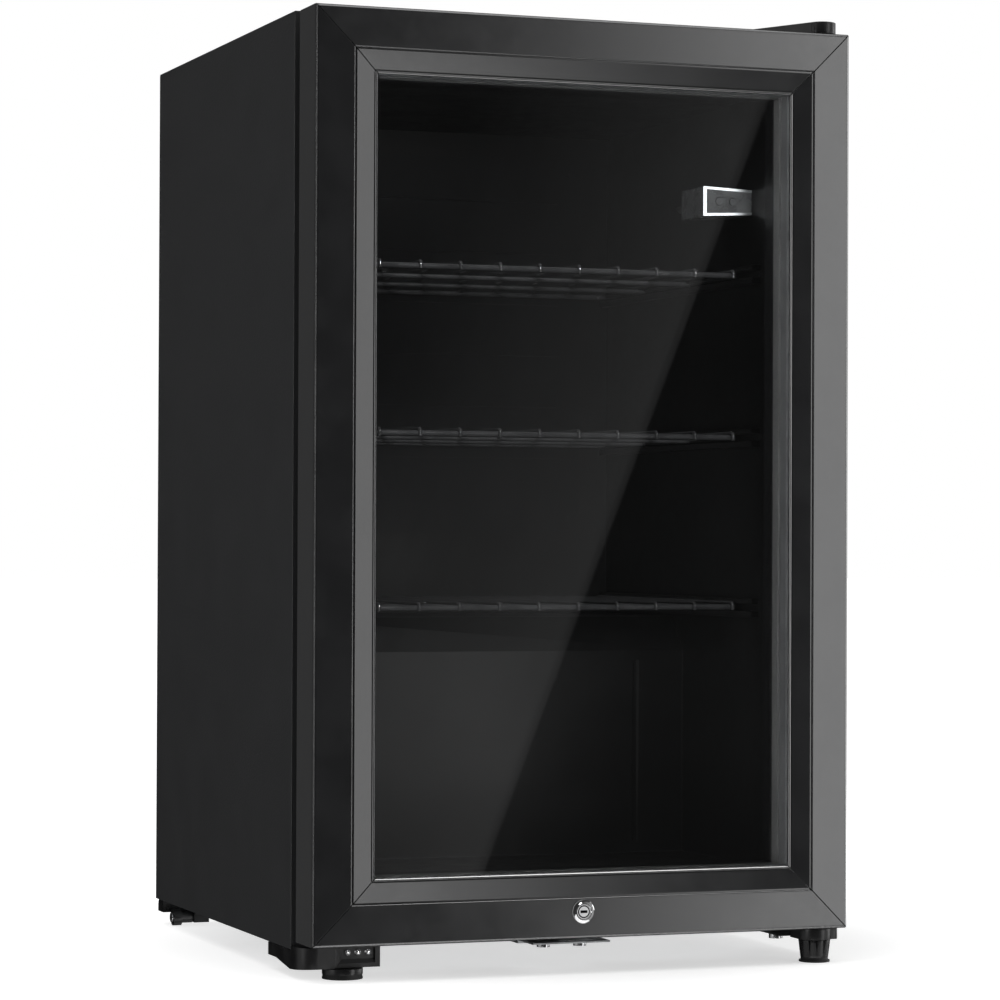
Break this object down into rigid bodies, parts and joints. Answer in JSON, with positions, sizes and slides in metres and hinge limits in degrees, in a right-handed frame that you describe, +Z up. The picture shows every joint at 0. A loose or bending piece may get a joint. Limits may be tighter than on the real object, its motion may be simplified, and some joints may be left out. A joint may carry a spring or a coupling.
{
  "type": "mini fridge",
  "caption": "Compact drinks cooler with a mitred-frame glass door on the right, lock, wire shelves, lit control unit, levelling front feet and rear rollers.",
  "frame": {"origin": "centre of the bounding box on the floor plane", "axes": "+X to the right seen from the front, -Y out of the front of the door, +Z up"},
  "size_m": [0.44, 0.452, 0.741],
  "materials": {
    "painted_steel": "satin",
    "rigid_foam": "matte",
    "liner_plastic": "satin",
    "zinc_steel": "satin",
    "plate_aluminium": "satin",
    "black_coated_steel": "satin",
    "black_rubber": "matte",
    "bright_steel": "satin",
    "black_plastic": "satin",
    "copper": "satin",
    "white_plastic": "satin",
    "light_diffuser": "gloss",
    "grey_plastic": "satin",
    "charcoal_rail": "satin",
    "tinted_glass": "gloss",
    "clear_glass": "gloss",
    "spacer_metal": "satin",
    "magnet_strip": "matte",
    "chrome": "polished"
  },
  "bodies": {
    "cabinet": {"left_side_panel": "painted_steel", "right_side_panel": "painted_steel", "top_panel": "painted_steel", "foam_insulation": "rigid_foam", "inner_liner": "liner_plastic", "back_panel": "zinc_steel", "base_panel": "zinc_steel", "evaporator_plate": "plate_aluminium", "condenser_tube": "black_coated_steel", "condenser_wires": "black_coated_steel", "compressor": "black_coated_steel", "compressor_grommets": "black_rubber", "compressor_bolts": "bright_steel", "relay_box": "black_plastic", "machine_floor_plate": "zinc_steel", "filter_drier": "copper", "refrigerant_tubes": "copper", "evaporation_tray": "black_plastic", "drain_tube": "white_plastic", "roller_brackets": "black_coated_steel", "roller_axles": "bright_steel", "cord_gland": "black_rubber", "control_housing": "black_plastic", "light_guide": "light_diffuser", "temperature_sensor": "white_plastic", "top_hinge_plate": "bright_steel", "top_hinge_screws": "bright_steel", "hinge_cover": "black_plastic", "lower_hinge_plate": "black_coated_steel", "underside_screws": "bright_steel", "corner_bracket": "black_plastic", "spare_hinge_bolts": "bright_steel", "strike_plate": "bright_steel", "back_screws": "bright_steel"},
    "door": {"top_rail": "charcoal_rail", "bottom_rail": "charcoal_rail", "left_rail": "charcoal_rail", "right_rail": "charcoal_rail", "corner_keys": "black_plastic", "outer_glass": "tinted_glass", "inner_glass": "clear_glass", "glass_spacer": "spacer_metal", "inner_door_frame": "grey_plastic", "gasket": "black_rubber", "gasket_magnet": "magnet_strip", "pin_bushes": "white_plastic", "lock_housing": "chrome"},
    "lock_plug": {"lock_plug": "chrome", "lock_cam": "bright_steel"},
    "upper_shelf": {"upper_shelf": "black_coated_steel"},
    "middle_shelf": {"middle_shelf": "black_coated_steel"},
    "lower_shelf": {"lower_shelf": "black_coated_steel"},
    "left_foot_sole": {"left_foot_sole": "black_rubber"},
    "left_foot_knob": {"left_foot_knob": "black_plastic"},
    "right_foot_sole": {"right_foot_sole": "black_rubber"},
    "right_foot_knob": {"right_foot_knob": "black_plastic"},
    "left_roller": {"left_roller": "black_plastic"},
    "right_roller": {"right_roller": "black_plastic"},
    "up_button": {"up_button": "grey_plastic"},
    "down_button": {"down_button": "grey_plastic"}
  },
  "joints": [
    {"name": "door_hinge", "type": "hinge", "parent": "cabinet", "child": "door", "pos_m": [0.201, -0.204, 0.371], "axis": [0, 0, 1], "range_deg": [0, 120]},
    {"name": "lock_turn", "type": "hinge", "parent": "door", "child": "lock_plug", "pos_m": [-0.0035, -0.214, 0.048], "axis": [0, 1, 0], "range_deg": [0, 90]},
    {"name": "upper_shelf_slide", "type": "slide", "parent": "cabinet", "child": "upper_shelf", "axis": [0, -1, 0], "range_m": [0, 0.045]},
    {"name": "middle_shelf_slide", "type": "slide", "parent": "cabinet", "child": "middle_shelf", "axis": [0, -1, 0], "range_m": [0, 0.045]},
    {"name": "lower_shelf_slide", "type": "slide", "parent": "cabinet", "child": "lower_shelf", "axis": [0, -1, 0], "range_m": [0, 0.045]},
    {"name": "left_foot_travel", "type": "slide", "parent": "cabinet", "child": "left_foot_sole", "axis": [0, 0, -1], "range_m": [0, 0.008]},
    {"name": "left_foot_turn", "type": "hinge", "parent": "left_foot_sole", "child": "left_foot_knob", "pos_m": [-0.184, -0.186, 0.011], "axis": [0, 0, 1], "range_deg": [0, 2881]},
    {"name": "right_foot_travel", "type": "slide", "parent": "cabinet", "child": "right_foot_sole", "axis": [0, 0, -1], "range_m": [0, 0.008]},
    {"name": "right_foot_turn", "type": "hinge", "parent": "right_foot_sole", "child": "right_foot_knob", "pos_m": [0.201, -0.204, 0.011], "axis": [0, 0, 1], "range_deg": [0, 2881]},
    {"name": "left_roller_spin", "type": "hinge", "parent": "cabinet", "child": "left_roller", "pos_m": [-0.203, 0.2, 0.007], "axis": [1, 0, 0], "continuous": true},
    {"name": "right_roller_spin", "type": "hinge", "parent": "cabinet", "child": "right_roller", "pos_m": [0.203, 0.2, 0.007], "axis": [1, 0, 0], "continuous": true},
    {"name": "up_button_press", "type": "slide", "parent": "cabinet", "child": "up_button", "axis": [0, 1, 0], "range_m": [0, 0.0008], "stiffness_N_per_m": 400, "springref_m": -0.0015},
    {"name": "down_button_press", "type": "slide", "parent": "cabinet", "child": "down_button", "axis": [0, 1, 0], "range_m": [0, 0.0008], "stiffness_N_per_m": 400, "springref_m": -0.0015}
  ],
  "couplings": [
    {"joint": "left_foot_turn", "follows": "left_foot_travel", "rad_per_m": 6283.2},
    {"joint": "right_foot_turn", "follows": "right_foot_travel", "rad_per_m": 6283.2}
  ]
}
